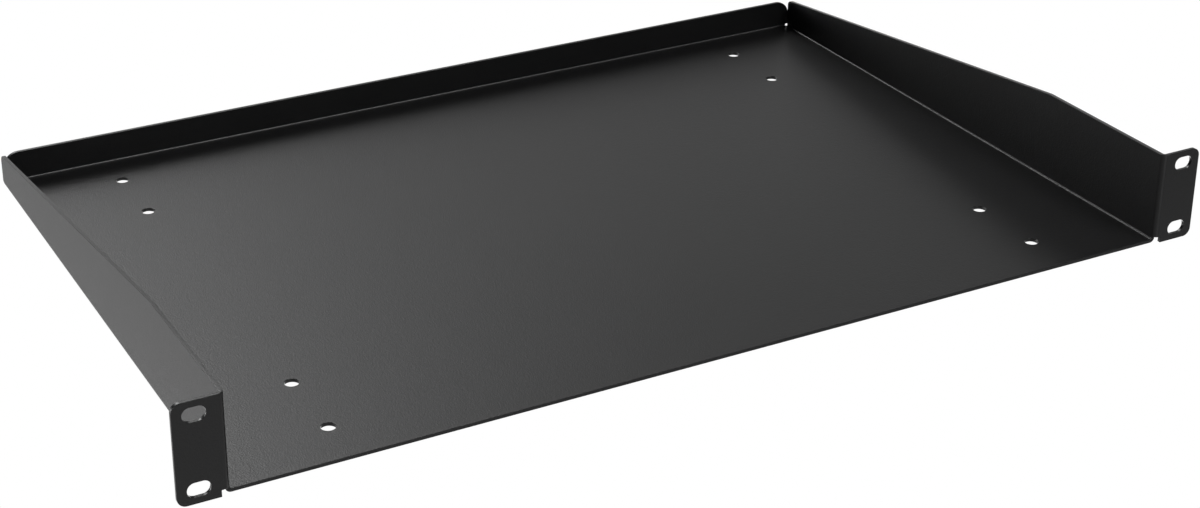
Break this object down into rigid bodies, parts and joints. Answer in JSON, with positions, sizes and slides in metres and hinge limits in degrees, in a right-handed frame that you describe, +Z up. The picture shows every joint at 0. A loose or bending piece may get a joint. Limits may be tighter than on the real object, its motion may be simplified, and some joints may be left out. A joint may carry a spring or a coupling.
{
  "type": "cantilever rack shelf",
  "caption": "Cantilever rack shelf folded from a single steel sheet: a flat tray with tapering side walls, a low rear lip and slotted ears that bolt to the rack's front rails.",
  "frame": {"origin": "centre of the four rack slots, on the ears' rear faces, where they meet the rack's front rails", "axes": "+X across the rack to the shelf's right as seen from the front, +Y to the rear, +Z up"},
  "size_m": [0.4826, 0.3048, 0.0436],
  "materials": {
    "powder_coat": "fine-grained satin black powder coat"
  },
  "bodies": {
    "root": {"rack_shelf": "powder_coat"}
  },
  "joints": []
}
